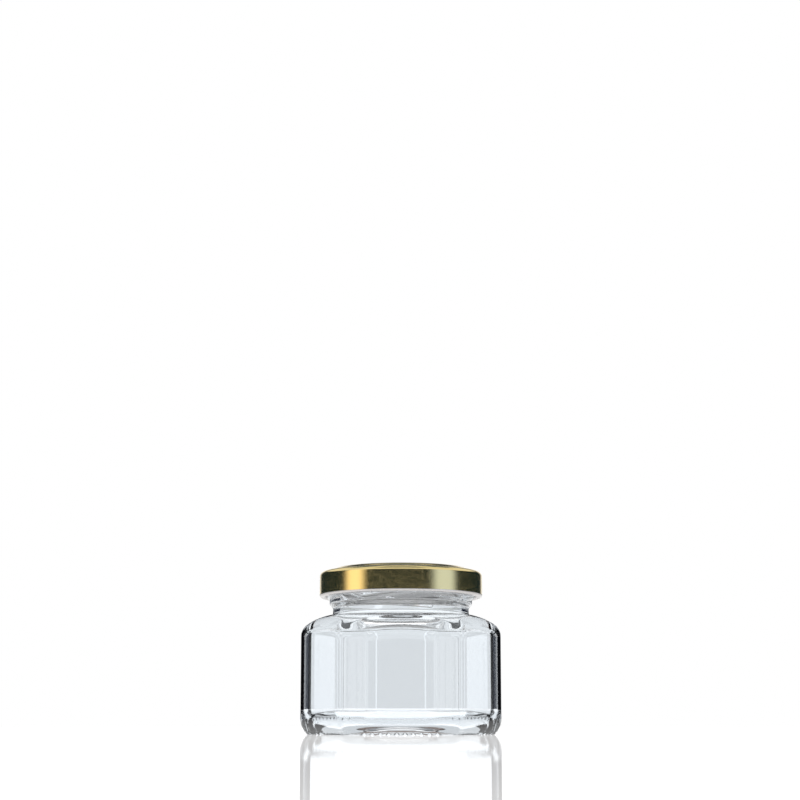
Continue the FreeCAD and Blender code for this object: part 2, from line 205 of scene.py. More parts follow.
def dome_former(neck, top, flat):
    """A dome from the neck's foot down past the hexagon's corners."""
    start_afresh()
    reach = flat / math.cos(HALF_SIDE)
    bpy.ops.mesh.primitive_circle_add(vertices=RING_STEPS, radius=neck, location=(0, 0, top))
    former = bpy.context.object
    bpy.ops.object.transform_apply(location=True, rotation=True, scale=True)
    edit(former)
    pick("EDGE", lambda edge: True)
    slope = arc_path((neck, top), (reach, top - SHOULDER_DROP), SHOULDER_BOW,
                     DOME_STEPS)
    last, before = slope[-1], slope[-2]
    slope.append((2 * last[0] - before[0], 2 * last[1] - before[1]))
    grow_ring(slope)
    start_afresh()
    return former


def form_shoulder(piece, neck, top, land, first_ring, edge_round):
    """Opens the flat top around the neck, drapes it over the dome and rounds its edge."""
    high = top + ABOVE
    former = dome_former(neck, top, FLAT)
    edit(piece)
    pick("EDGE", lambda edge: at_height(edge, high))
    bpy.ops.mesh.mark_sharp()
    pick("FACE", lambda face: at_height(face, high))
    bpy.ops.mesh.inset(thickness=land)
    bpy.ops.mesh.mark_sharp(clear=True)
    bpy.ops.mesh.delete(type="ONLY_FACE")
    bpy.ops.mesh.select_all(action="DESELECT")
    bpy.ops.mesh.primitive_circle_add(vertices=RING_STEPS, radius=first_ring,
                                      location=(0, 0, high + LIFT))
    pick("EDGE", lambda edge: is_open(edge) and edge.verts[0].co.z > high - SLACK)
    bpy.ops.mesh.bridge_edge_loops(number_cuts=SHOULDER_STEPS, interpolation="LINEAR")
    bpy.ops.mesh.select_all(action="DESELECT")
    bpy.ops.mesh.primitive_circle_add(vertices=RING_STEPS, radius=neck, location=(0, 0, top))
    pick("EDGE", lambda edge: is_open(edge) and edge.verts[0].co.z > top - SLACK)
    bpy.ops.mesh.bridge_edge_loops()
    start_afresh()
    drape_over(piece, former, top + 0.5 * ABOVE)
    edit(piece)
    pick("EDGE", lambda edge: not edge.smooth)
    bpy.ops.mesh.mark_sharp(clear=True)
    bpy.ops.mesh.bevel(offset_type="OFFSET", offset=edge_round, segments=EDGE_STEPS,
                       affect="EDGES", clamp_overlap=False)
    start_afresh()


def drape_over(piece, former, low):
    """Drops the points above that height straight down onto the former."""
    group = piece.vertex_groups.new(name="draped")
    group.add([point.index for point in piece.data.vertices if point.co.z > low],
              1.0, "REPLACE")
    drape = piece.modifiers.new("drape", "SHRINKWRAP")
    drape.target = former
    drape.vertex_group = group.name
    drape.wrap_method = "PROJECT"
    drape.use_project_z = True
    drape.use_negative_direction = True
    drape.use_positive_direction = False
    bpy.context.view_layer.objects.active = piece
    bpy.ops.object.modifier_apply(modifier=drape.name)
    bpy.data.objects.remove(former)
    piece.vertex_groups.clear()

# %% The outside: block, heel, level foot and shoulder
CORNER_ROUND = 8.0 * MM
HEEL_RISE, HEEL_ROUND = 5.2 * MM, 7.0 * MM
HEEL_STEPS = 20
FOOT_CLEAR = 0.8 * MM     # rings of the heel lower than this would be in the notches' way
SHOULDER_TOP = 40.4 * MM
BORE = 21.0 * MM
NECK = 23.3 * MM

outside = hexagonal_block("outside", FLAT, CORNER_ROUND, HEEL_RISE - HEEL_ROUND,
                          SHOULDER_TOP + ABOVE)
pick("EDGE", lambda edge: at_height(edge, HEEL_RISE - HEEL_ROUND))
bpy.ops.mesh.bevel(offset_type="OFFSET", offset=HEEL_ROUND, segments=HEEL_STEPS,
                   affect="EDGES", clamp_overlap=False)
bpy.ops.mesh.select_all(action="SELECT")
bpy.ops.mesh.bisect(plane_co=(0, 0, 0), plane_no=(0, 0, 1), clear_inner=True, use_fill=False)
pick("EDGE", lambda edge: at_height(edge, edge.verts[0].co.z)
     and SLACK < edge.verts[0].co.z < FOOT_CLEAR)
bpy.ops.mesh.dissolve_edges()
form_shoulder(outside, NECK, SHOULDER_TOP, land=3.4 * MM, first_ring=NECK + 1.0 * MM,
              edge_round=2.2 * MM)
print(f"outside: {len(outside.data.polygons)} faces")

# %% [markdown]
# ## The foot
# The heel is a large round cut off by the surface that the jar stands on. The jar bears on a
# ring that follows the hexagon, and inside it the base is pushed up into a shallow hollow, so
# that it stands steady. The ring is notched all along the six sides: this knurling keeps a
# hot jar from sliding and chilling on a steel conveyor. One point in four along each side is
# raised, and because the heel leans outwards as it rises, the point moves out with it. The
# ring is then joined to the edge of the hollow, which lets each notch run out on its way in.

# %% The knurling
KNURL_DEEP = 0.7 * MM
KNURL_EVERY = 4           # points along a side from one notch to the next
KNURL_STEP = 2 * (FLAT - CORNER_ROUND) * math.tan(HALF_SIDE) / FLAT_STEPS
HEEL_AXIS = FLAT - HEEL_ROUND
FOOT = HEEL_AXIS + math.sqrt(HEEL_ROUND ** 2 - HEEL_RISE ** 2)
NOTCH_REACH = HEEL_AXIS + math.sqrt(HEEL_ROUND ** 2 - (HEEL_RISE - KNURL_DEEP) ** 2)


def notch_side(facing):
    """Raises one point in four along the side that faces that way."""
    out_x, out_y = math.cos(facing), math.sin(facing)

    def is_notched(point):
        reach = point.co.x * out_x + point.co.y * out_y
        place = round((point.co.y * out_x - point.co.x * out_y) / KNURL_STEP)
        on_the_side = at_height(point, 0) and abs(reach - FOOT) < SLACK
        return (on_the_side and abs(place) < FLAT_STEPS // 2
                and place % KNURL_EVERY == KNURL_EVERY // 2)

    notches = pick("VERT", is_notched)
    out = NOTCH_REACH - FOOT
    bpy.ops.transform.translate(value=(out * out_x, out * out_y, KNURL_DEEP))
    return notches


edit(outside)
notches = sum(notch_side(HALF_SIDE + side * 2 * HALF_SIDE) for side in range(SIDES))
print(f"{notches} notches, {KNURL_EVERY * KNURL_STEP / MM:.2f} mm apart")

# %% The bearing ring and the hollow in it
RECESS = 24.5 * MM        # the edge of the hollow, from the upright axis
MIDDLE = 6.0 * MM         # rings grow in to here, and a grid of faces closes the rest
PUSH_UP = 2.2 * MM


def dished(radius, height, rise, steps):
    """Places along a shallow arc that rises inwards and is level at the middle."""
    run = radius - MIDDLE
    bow = (run ** 2 + rise ** 2) / (2 * rise)
    reaches = [run * (1 - step / steps) for step in range(steps + 1)]
    return [(MIDDLE + reach, height + rise - (bow - math.sqrt(bow ** 2 - reach ** 2)))
            for reach in reaches]


def close_bottom(piece, height, radius, rise, cuts, steps):
    """Joins the open bottom loop to a circle, and domes the disc inside it."""
    edit(piece)
    bpy.ops.mesh.primitive_circle_add(vertices=RING_STEPS, radius=radius,
                                      location=(0, 0, height - LIFT))
    pick("EDGE", lambda edge: is_open(edge) and edge.verts[0].co.z < height + LIFT)
    bpy.ops.mesh.bridge_edge_loops(number_cuts=cuts, interpolation="LINEAR")
    pick("VERT", lambda point: point.co.z < height)
    bpy.ops.transform.resize(value=(1, 1, 0), center_override=(0, 0, height))
    pick("EDGE", lambda edge: is_open(edge) and on_circle(edge, radius))
    grow_ring(dished(radius, height, rise, steps))
    pick("EDGE", lambda edge: is_open(edge) and on_circle(edge, MIDDLE))
    bpy.ops.mesh.fill_grid(span=RING_STEPS // 4)
    start_afresh()


close_bottom(outside, 0, RECESS, PUSH_UP, cuts=3, steps=12)
print(f"outside with its foot: {len(outside.data.polygons)} faces")

# %% [markdown]
# ## The glass, inside
# The space in the jar is a hexagonal block of its own, one wall smaller, with a rounder heel
# and a floor that is slightly crowned. It is made in the same steps as the outside.

# %% The inside: block, heel, shoulder and crowned floor
WALL = 2.7 * MM
INNER_FLAT = FLAT - WALL
INNER_CORNER_ROUND = 13.0 * MM
FLOOR = 3.6 * MM
FLOOR_CROWN = 1.3 * MM
INNER_HEEL_ROUND = 5.0 * MM
INNER_HEEL_STEPS = 14
FLOOR_DISC = INNER_FLAT - INNER_HEEL_ROUND - 0.4 * MM
SHOULDER_WALL = 2.8 * MM
INNER_TOP = SHOULDER_TOP - SHOULDER_WALL

inside = hexagonal_block("inside", INNER_FLAT, INNER_CORNER_ROUND, FLOOR, INNER_TOP + ABOVE)
pick("EDGE", lambda edge: at_height(edge, FLOOR))
bpy.ops.mesh.bevel(offset_type="OFFSET", offset=INNER_HEEL_ROUND, segments=INNER_HEEL_STEPS,
                   affect="EDGES", clamp_overlap=False)
pick("FACE", lambda face: at_height(face, FLOOR))
bpy.ops.mesh.delete(type="ONLY_FACE")
form_shoulder(inside, BORE, INNER_TOP, land=2.6 * MM, first_ring=BORE + 3.9 * MM,
              edge_round=2.3 * MM)
close_bottom(inside, FLOOR, FLOOR_DISC, FLOOR_CROWN, cuts=3, steps=12)
print(f"inside: {len(inside.data.polygons)} faces")

# %% [markdown]
# ## The neck, the mouth and the rim
# Both shells are open where the neck begins. Each loop is grown upwards: the outer one over a
# small step to the threaded wall, the inner one straight up the mouth. The two are then joined
# into one mesh and bridged across the rim, and the sharp edges are rounded, because glass has
# none.

# %% Grow both shells to the rim and join them
FINISH = NECK + 1.15 * MM
STEP_LOW = SHOULDER_TOP + 2.4 * MM
STEP_HIGH = STEP_LOW + 1.3 * MM
RIM_ROUND = 1.2 * MM

edit(outside)
pick("EDGE", is_open)
grow_ring([(NECK, SHOULDER_TOP), (NECK, STEP_LOW), (FINISH, STEP_HIGH), (FINISH, RIM)])
edit(inside)
pick("EDGE", is_open)
grow_ring([(BORE, INNER_TOP), (BORE, RIM + LIFT)])
start_afresh()
jar = outside
inside.select_set(True)
jar.select_set(True)
bpy.context.view_layer.objects.active = jar
bpy.ops.object.join()
jar.name = "jar"
edit(jar)
print("open rim edges:", pick("EDGE", is_open))
bpy.ops.mesh.bridge_edge_loops()
pick("VERT", lambda point: point.co.z > RIM)
bpy.ops.transform.resize(value=(1, 1, 0), center_override=(0, 0, RIM))
bpy.ops.mesh.select_all(action="SELECT")
bpy.ops.mesh.normals_make_consistent(inside=False)

# %% Round the edges of the neck and the rim
def round_ring(radius, height, offset, segments):
    """Bevels the level ring of edges at that radius and height."""
    pick("EDGE", lambda edge: at_height(edge, height) and on_circle(edge, radius))
    bpy.ops.mesh.bevel(offset_type="OFFSET", offset=offset, segments=segments,
                       affect="EDGES", clamp_overlap=False)


round_ring(NECK, SHOULDER_TOP, offset=0.75 * MM, segments=6)
round_ring(BORE, INNER_TOP, offset=3.5 * MM, segments=10)
round_ring(NECK, STEP_LOW, offset=0.35 * MM, segments=3)
round_ring(FINISH, STEP_HIGH, offset=0.35 * MM, segments=3)
round_ring(FINISH, RIM, offset=RIM_ROUND, segments=6)
round_ring(BORE, RIM, offset=RIM_ROUND, segments=6)
mesh = bmesh.from_edit_mesh(jar.data)
print("open edges left:", sum(1 for edge in mesh.edges if is_open(edge)))
start_afresh()

# %% [markdown]
# ## The threads
# The lid twists on over four short threads that rise to the right, each with round ends. The
# threaded wall is cut into fine rings, and the points that lie under a thread are pushed
# straight out onto it: a round bar swept up along a screw line, with a ball at both ends. So
# each thread grows out of the wall in one skin, as pressed glass does.

# %% Bars and balls in the shape of the threads
THREADS = 4
THREAD_DEPTH, THREAD_WIDE = 0.85 * MM, 2.3 * MM
THREAD_ROUND = (THREAD_WIDE ** 2 / 4 + THREAD_DEPTH ** 2) / (2 * THREAD_DEPTH)
THREAD_AXIS = FINISH + THREAD_DEPTH - THREAD_ROUND
THREAD_START = math.radians(-118.7)
THREAD_TURN = math.radians(84)
THREAD_LOW = STEP_HIGH + 1.5 * MM
THREAD_LEAD = 17.5 * MM   # the rise of a whole turn
THREAD_RISE = THREAD_LEAD * THREAD_TURN / math.radians(360)


def thread_bar():
    """A round bar swept up along a screw line."""
    start_afresh()
    bpy.ops.mesh.primitive_circle_add(
        vertices=32, radius=THREAD_ROUND, rotation=(math.radians(90), 0, THREAD_START),
        location=(THREAD_AXIS * math.cos(THREAD_START), THREAD_AXIS * math.sin(THREAD_START),
                  THREAD_LOW))
    bar = bpy.context.object
    bpy.ops.object.transform_apply(location=True, rotation=True, scale=True)
    screw = bar.modifiers.new("screw", "SCREW")
    screw.angle = THREAD_TURN
    screw.screw_offset = THREAD_RISE
    screw.steps = screw.render_steps = 80
    bpy.ops.object.modifier_apply(modifier=screw.name)
    return bar


def thread_balls():
    """The round ends of that bar."""
    start_afresh()
    balls = []
    for turn, height in ((THREAD_START, THREAD_LOW),
                         (THREAD_START + THREAD_TURN, THREAD_LOW + THREAD_RISE)):
        bpy.ops.mesh.primitive_uv_sphere_add(
            segments=48, ring_count=24, radius=THREAD_ROUND,
            location=(THREAD_AXIS * math.cos(turn), THREAD_AXIS * math.sin(turn), height))
        bpy.ops.object.transform_apply(location=True, rotation=True, scale=True)
        balls.append(bpy.context.object)
    for ball in balls:
        ball.select_set(True)
    bpy.ops.object.join()
    return bpy.context.object


def repeat_around(piece, times):
    """Copies a piece around the upright axis and joins the copies to it."""
    start_afresh()
    copies = [piece]
    for turn in range(1, times):
        copy = piece.copy()
        copy.data = piece.data.copy()
        bpy.context.collection.objects.link(copy)
        copy.rotation_euler = (0, 0, turn * 2 * math.pi / times)
        copies.append(copy)
    for copy in copies:
        copy.select_set(True)
    bpy.context.view_layer.objects.active = piece
    bpy.ops.object.transform_apply(location=True, rotation=True, scale=True)
    bpy.ops.object.join()
    return piece


bars = repeat_around(thread_bar(), THREADS)
balls = repeat_around(thread_balls(), THREADS)

# %% Push the threaded wall out onto them
WALL_RINGS = 44
WALL_LOW = THREAD_LOW - 2 * MM
TALL_EDGE = 3 * MM        # only the upright edges of the threaded wall are longer
edit(jar)
pick("EDGE", lambda edge: on_circle(edge, FINISH) and edge.calc_length() > TALL_EDGE)
bpy.ops.mesh.subdivide(number_cuts=WALL_RINGS)
start_afresh()
for target in (bars, balls):
    push = jar.modifiers.new("push", "SHRINKWRAP")
    group = jar.vertex_groups.new(name="wall")
    group.add([point.index for point in jar.data.vertices
               if FINISH - SLACK < distance_out(point) < FINISH + THREAD_DEPTH
               and WALL_LOW < point.co.z < RIM - RIM_ROUND], 1.0, "REPLACE")
    push.target = target
    push.vertex_group = group.name
    push.wrap_method = "PROJECT"
    push.use_positive_direction = True
    push.use_negative_direction = False
    push.project_limit = 2 * THREAD_DEPTH
    bpy.context.view_layer.objects.active = jar
    bpy.ops.object.modifier_apply(modifier=push.name)
    jar.vertex_groups.clear()
    bpy.data.objects.remove(target)
crest = max(distance_out(point) for point in jar.data.vertices if point.co.z > STEP_HIGH)
print(f"jar: {len(jar.data.polygons)} faces, thread crests {crest / MM:.2f} mm out")

# %% [markdown]
# ## The lid
# The lid is one disc of lacquered sheet, drawn in a press: a raised middle, a slope down to the
# flat ring that seals on the rim, a skirt, and an edge curled in on itself so that nothing
# sharp is left. Its outer face is grown ring by ring from the middle, its bends are rounded,
# and Solidify then gives the sheet its thickness on the inner side.

# %% Grow the outer face of the sheet
LID_STEPS = 240
LID_TOP, LID_LOW = lid_high[2], lid_low[2]
SHEET = 0.3 * MM
SKIRT = lid_high[0]
PANEL = BORE + 1.2 * MM
PANEL_SLOPE = 2.0 * MM
RING_TOP = LID_TOP - 1.3 * MM
LID_ROUND = 1.7 * MM
CURL_ROUND = 1.1 * MM
CURL_AXIS = SKIRT - CURL_ROUND
CURL_HEIGHT = LID_LOW + CURL_ROUND
CURL_TURN = math.radians(270)
CURL_STEPS = 24
PANEL_MIDDLE = 0.6 * BORE   # one more ring, so that the flat middle has no very long faces

start_afresh()
bpy.ops.mesh.primitive_circle_add(vertices=LID_STEPS, radius=MIDDLE, location=(0, 0, LID_TOP))
lid = bpy.context.object
lid.name = "lid"
bpy.ops.object.transform_apply(location=True, rotation=True, scale=True)
edit(lid)
pick("EDGE", lambda edge: True)
curl = [(CURL_AXIS + CURL_ROUND * math.cos(angle), CURL_HEIGHT - CURL_ROUND * math.sin(angle))
        for angle in (CURL_TURN * step / CURL_STEPS for step in range(CURL_STEPS + 1))]
grow_ring([(MIDDLE, LID_TOP), (PANEL_MIDDLE, LID_TOP), (PANEL, LID_TOP),
           (PANEL + PANEL_SLOPE, RING_TOP), (SKIRT, RING_TOP)] + curl)
pick("EDGE", lambda edge: is_open(edge) and on_circle(edge, MIDDLE))
bpy.ops.mesh.fill_grid(span=LID_STEPS // 4)
bpy.ops.mesh.select_all(action="SELECT")
bpy.ops.mesh.normals_make_consistent(inside=False)
top_face = next(face for face in bmesh.from_edit_mesh(lid.data).faces if at_height(face, LID_TOP))
if top_face.normal.z < 0:
    bpy.ops.mesh.flip_normals()
round_ring(PANEL, LID_TOP, offset=1.0 * MM, segments=6)
round_ring(PANEL + PANEL_SLOPE, RING_TOP, offset=1.0 * MM, segments=6)
round_ring(SKIRT, RING_TOP, offset=LID_ROUND, segments=10)

# %% Pinch four lugs into the curl
LUG_REACH = FINISH + 0.4 * MM
LUG_WIDE = 8.0 * MM
LUG_TURN = THREAD_START + math.radians(72)
LUG_HALF = LUG_WIDE / 2 / LUG_REACH
CURL_INSIDE = CURL_AXIS - 0.6 * CURL_ROUND
move = LUG_REACH - (CURL_AXIS - CURL_ROUND)

for lug in range(THREADS):
    turn = LUG_TURN + lug * 2 * math.pi / THREADS

    def is_inner_curl(point):
        away = math.atan2(point.co.y, point.co.x) - turn
        away = math.atan2(math.sin(away), math.cos(away))
        return (abs(away) < LUG_HALF and distance_out(point) < CURL_INSIDE
                and point.co.z < CURL_HEIGHT + CURL_ROUND)

    pick("VERT", is_inner_curl)
    bpy.ops.transform.translate(
        value=(move * math.cos(turn), move * math.sin(turn), 0), use_proportional_edit=True,
        proportional_edit_falloff="SMOOTH", proportional_size=1.6 * MM,
        use_proportional_connected=True)
start_afresh()
print(f"{THREADS} lugs, each {LUG_WIDE / MM:.1f} mm wide, {-move / MM:.1f} mm into the lid")

# %% Give the sheet its thickness
shell = lid.modifiers.new("sheet", "SOLIDIFY")
shell.thickness = SHEET
shell.offset = -1
bpy.context.view_layer.objects.active = lid
bpy.ops.object.modifier_apply(modifier=shell.name)
print(f"lid: {len(lid.data.polygons)} faces, {SKIRT / MM:.2f} mm out")

# %% [markdown]
# ## The sealing ring
# Under the flat ring of the lid lies a soft pale ring that was poured in and cured there. It is
# what touches the rim of the glass. It is part of the lid, so it is made as a closed ring, joined
# to the lid, and gets a finish of its own.

# %% A closed ring under the sheet
SEAL_IN, SEAL_OUT = BORE + 0.4 * MM, SKIRT - LID_ROUND - 0.35 * MM
UNDER_RING = RING_TOP - 0.5 * SHEET
UNDER_PANEL = LID_TOP - 0.5 * SHEET

start_afresh()
bpy.ops.mesh.primitive_circle_add(vertices=LID_STEPS, radius=SEAL_IN, location=(0, 0, RIM))
seal = bpy.context.object
bpy.ops.object.transform_apply(location=True, rotation=True, scale=True)
edit(seal)
pick("EDGE", lambda edge: True)
grow_ring([(SEAL_IN, RIM), (SEAL_OUT, RIM), (SEAL_OUT + 0.3 * MM, UNDER_RING),
           (PANEL + PANEL_SLOPE, UNDER_RING), (PANEL, UNDER_PANEL), (SEAL_IN, UNDER_PANEL),
           (SEAL_IN, RIM)])
bpy.ops.mesh.select_all(action="SELECT")
bpy.ops.mesh.remove_doubles(threshold=0.001 * MM)
bpy.ops.mesh.normals_make_consistent(inside=False)
round_ring(SEAL_IN, RIM, offset=0.2 * MM, segments=3)
round_ring(SEAL_OUT, RIM, offset=0.2 * MM, segments=3)
start_afresh()
print(f"sealing ring: {len(seal.data.polygons)} faces")

# %% [markdown]
# ## Materials
# Three finishes show: clear glass, gold lacquer over tinplate, and the pale sealing ring. Each
# starts from the Principled shader, set on its own sockets, and small procedural patterns
# read from Object coordinates break up what would be too perfect.

# %% Nodes and new materials
def add_node(tree, kind, **inputs):
    """A node whose sockets are set to values, or linked to other nodes' outputs."""
    node = tree.nodes.new(kind)
    for name, value in inputs.items():
        socket = node.inputs[int(name[1:])] if name[0] == "i" and name[1:].isdigit() else \
            node.inputs[name.replace("_", " ")]
        if isinstance(value, bpy.types.NodeSocket):
            tree.links.new(value, socket)
        else:
            socket.default_value = value
    return node


def new_material(name):
    """A material with a Principled shader on its output."""
    material = bpy.data.materials.new(name)
    material.use_nodes = True
    tree = material.node_tree
    return material, tree, tree.nodes["Principled BSDF"]

# %% Sums, ramps and patterns in the tree that is being built
def maths(operation, first, second=0.0, third=0.0):
    node = add_node(tree, "ShaderNodeMath", i0=first, i1=second, i2=third)
    node.operation = operation
    return node.outputs[0]


def ramp(value, start, end):
    """0 at start, 1 at end, smooth between."""
    node = add_node(tree, "ShaderNodeMapRange", Value=value, From_Min=start, From_Max=end)
    node.interpolation_type = "SMOOTHSTEP"
    return node.outputs["Result"]


def times(first, second):
    return maths("MULTIPLY", first, second)


def fine_pattern(scale, detail, roughness, strength, height):
    """Noise on the piece itself, which also lifts and lowers its surface a little."""
    place = add_node(tree, "ShaderNodeTexCoord").outputs["Object"]
    noise = add_node(tree, "ShaderNodeTexNoise", Vector=place, Scale=scale, Detail=detail,
                     Roughness=roughness).outputs[0]
    bump = add_node(tree, "ShaderNodeBump", Strength=strength, Distance=height, Height=noise)
    tree.links.new(bump.outputs["Normal"], shader.inputs["Normal"])
    return noise


def uneven_roughness(noise, smooth, rough):
    """Lets the surface go from smooth to rough as the noise rises."""
    spread = add_node(tree, "ShaderNodeMapRange", Value=noise, From_Min=0.3, From_Max=0.7,
                      To_Min=smooth, To_Max=rough)
    tree.links.new(spread.outputs["Result"], shader.inputs["Roughness"])

# %% Clear glass
glass, tree, shader = new_material("clear_glass")
shader.inputs["Base Color"].default_value = (1.0, 1.0, 1.0, 1.0)
shader.inputs["Roughness"].default_value = 0.0
shader.inputs["IOR"].default_value = 1.52
shader.inputs["Transmission Weight"].default_value = 1.0
fine_pattern(scale=90.0, detail=2.0, roughness=0.5, strength=0.1, height=0.02 * MM)
print(f"{glass.name}: IOR {shader.inputs['IOR'].default_value:.2f}, with faint ripples")

# %% [markdown]
# ## A painted glow in the foot and the shoulder
# Some of the light that enters the thick foot, or the edge of the shoulder, is turned to and fro
# inside the glass many times before it leaves. It comes out black in a render, where real glass
# shows a pale gleam. Here that gleam is painted: the glass glows with a pale light of its own
# where a path reaches its sixth turn, but only near the foot and the shoulder. The six upright
# corners are left out, because they are dark on real glass.

# %% The painted glow of the glass in the foot and the shoulder
CAUGHT_AT_TURN = 6.0
PAINTED_GLOW = 0.66
PAINTED_GLOW_COLOUR = (0.86, 0.92, 0.97, 1.0)
BODY_MIDDLE = 23.5 * MM           # half-way between the foot and the shoulder
CLEAR_PART = 17.5 * MM            # no gleam nearer to that height than this
GLEAM_PART = 19.5 * MM            # the full gleam further from it than this
NEAR_SIDES = 28.5 * MM            # the full gleam up to here from the upright axis
AT_CORNERS = 31.0 * MM            # none from here on

turns = add_node(tree, "ShaderNodeLightPath").outputs["Ray Depth"]
caught = maths("COMPARE", turns, CAUGHT_AT_TURN, 0.5)
place = add_node(tree, "ShaderNodeTexCoord").outputs["Object"]
x, y, z = add_node(tree, "ShaderNodeSeparateXYZ", Vector=place).outputs
ends = ramp(maths("ABSOLUTE", maths("SUBTRACT", z, BODY_MIDDLE)), CLEAR_PART, GLEAM_PART)
reach = maths("SQRT", maths("ADD", maths("POWER", x, 2.0), maths("POWER", y, 2.0)))
painted_glow = times(times(ends, ramp(reach, AT_CORNERS, NEAR_SIDES)), PAINTED_GLOW)
# painted glow: emission on the glass stands in for light caught in the foot and the shoulder
tree.links.new(times(painted_glow, caught), shader.inputs["Emission Strength"])
shader.inputs["Emission Color"].default_value = PAINTED_GLOW_COLOUR
print(f"gleam under {(BODY_MIDDLE - CLEAR_PART) / MM:.0f} mm and over "
      f"{(BODY_MIDDLE + CLEAR_PART) / MM:.0f} mm")

# %% [markdown]
# ## The metal of the lid
# The lid is tinplate, a steel sheet with a thin coat of tin, lacquered before it is pressed. The
# lacquer outside is gold, which a metallic base colour under a thin coat gives. Inside, and on
# the curl, it is clear, so the grey tin shows. Both are even from afar and a little uneven close
# up, so one fine noise sets the roughness and a very low bump.

# %% Gold lacquer
lacquer, tree, shader = new_material("gold_lacquer")
shader.inputs["Base Color"].default_value = (0.90, 0.70, 0.31, 1.0)
shader.inputs["Metallic"].default_value = 1.0
speckle = fine_pattern(scale=900.0, detail=3.0, roughness=0.6, strength=0.04, height=0.02 * MM)
uneven_roughness(speckle, 0.13, 0.19)
shader.inputs["Coat Weight"].default_value = 0.15
shader.inputs["Coat Roughness"].default_value = 0.12
print(f"{lacquer.name}: {len(tree.nodes)} nodes")

# %% The bare side of the sheet: tinplate under a clear lacquer
tinplate, tree, shader = new_material("clear_lacquered_tinplate")
shader.inputs["Base Color"].default_value = (0.52, 0.50, 0.49, 1.0)
shader.inputs["Metallic"].default_value = 1.0
grain = fine_pattern(scale=1400.0, detail=3.0, roughness=0.7, strength=0.35, height=0.04 * MM)
uneven_roughness(grain, 0.22, 0.42)
print(f"{tinplate.name}: {len(tree.nodes)} nodes")

# %% The sealing ring's compound
compound, tree, shader = new_material("sealing_compound")
shader.inputs["Base Color"].default_value = (0.62, 0.62, 0.58, 1.0)
shader.inputs["Roughness"].default_value = 0.55
print(f"{compound.name}: one even tone")

# %% Put the finishes on
LOOKS_DOWN, LOOKS_IN = -0.5, -0.3
TINPLATE_SLOT = 1


def is_bare(face):
    """The inner side of the sheet, and the curl that it is rolled into."""
    middle = face.calc_center_median()
    reach = math.hypot(middle.x, middle.y)
    outward = (face.normal.x * middle.x + face.normal.y * middle.y) / reach
    on_the_curl = middle.z < CURL_HEIGHT + CURL_ROUND and reach < SKIRT - SHEET
    under = middle.z < UNDER_PANEL and (face.normal.z < LOOKS_DOWN or outward < LOOKS_IN)
    return under or on_the_curl or middle.z < CURL_HEIGHT


jar.data.materials.append(glass)
lid.data.materials.append(lacquer)
lid.data.materials.append(tinplate)
edit(lid)
bare_faces = pick("FACE", is_bare)
lid.active_material_index = TINPLATE_SLOT
bpy.ops.object.material_slot_assign()
start_afresh()
seal.data.materials.append(compound)
print(f"{bare_faces} faces of the lid are bare tinplate")

# %% Shade smooth, with even normals, and join the sealing ring to the lid
SMOOTH_UP_TO = math.radians(35)

for piece in (jar, lid, seal):
    start_afresh()
    piece.select_set(True)
    bpy.context.view_layer.objects.active = piece
    bpy.ops.object.shade_smooth_by_angle(angle=SMOOTH_UP_TO)
    even = piece.modifiers.new("even", "WEIGHTED_NORMAL")
    even.keep_sharp = True
    bpy.ops.object.modifier_apply(modifier=even.name)
start_afresh()
seal.select_set(True)
lid.select_set(True)
bpy.context.view_layer.objects.active = lid
bpy.ops.object.join()
print("lid materials:", [slot.name for slot in lid.material_slots])

# %% [markdown]
# ## Who stands for what
# The glass and the lid each take the place of their CAD solid, and ride with it.

# %% Replace the CAD nodes
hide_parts("glass_jar")
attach(jar, "root")
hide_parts("twist_lid")
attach(lid, "root")

# %% [markdown]
# ## The floor
# The jar stands on a white gloss sheet. Seen almost along its surface the sheet is nearly a
# mirror, and seen from above it is plain white: a Fresnel factor between a mirror and a white
# base does both. Part of the white is a true matt surface, so the jar's shadow stays on it. The
# gloss fades out half a metre from the jar, so that far off the sheet runs into the backdrop.

# %% Mixing colours in the tree that is being built
def tint(colour, strength):
    """A colour times a strength, which may be over one."""
    node = add_node(tree, "ShaderNodeMix", i0=strength)
    node.data_type = "RGBA"
    node.inputs[6].default_value = (0.0, 0.0, 0.0, 1.0)
    node.inputs[7].default_value = (*colour, 1.0)
    node.clamp_factor = False
    return node.outputs[2]


def blend(first, second, share):
    """From the first colour to the second as the share goes from 0 to 1."""
    node = add_node(tree, "ShaderNodeMix", i0=share)
    node.data_type = "RGBA"
    for socket, value in ((node.inputs[6], first), (node.inputs[7], second)):
        if isinstance(value, bpy.types.NodeSocket):
            tree.links.new(value, socket)
        else:
            socket.default_value = (*value, 1.0)
    return node.outputs[2]


def add_light(first, second):
    node = add_node(tree, "ShaderNodeVectorMath", i0=first, i1=second)
    node.operation = "ADD"
    return node.outputs[0]

# %% A white gloss floor
FLOOR_GAP = 0.03 * MM     # keeps the glass and the floor from sharing one surface
FLOOR_REACH = 4.0
WHITE = (1.0, 1.0, 1.0)
THROUGH_GLASS = (0.78, 0.83, 0.87)
FLOOR_GLOW = 0.62
GLOSS = 0.7
GLOSS_FADES, GLOSS_ENDS = 0.55, 0.75    # metres from the jar

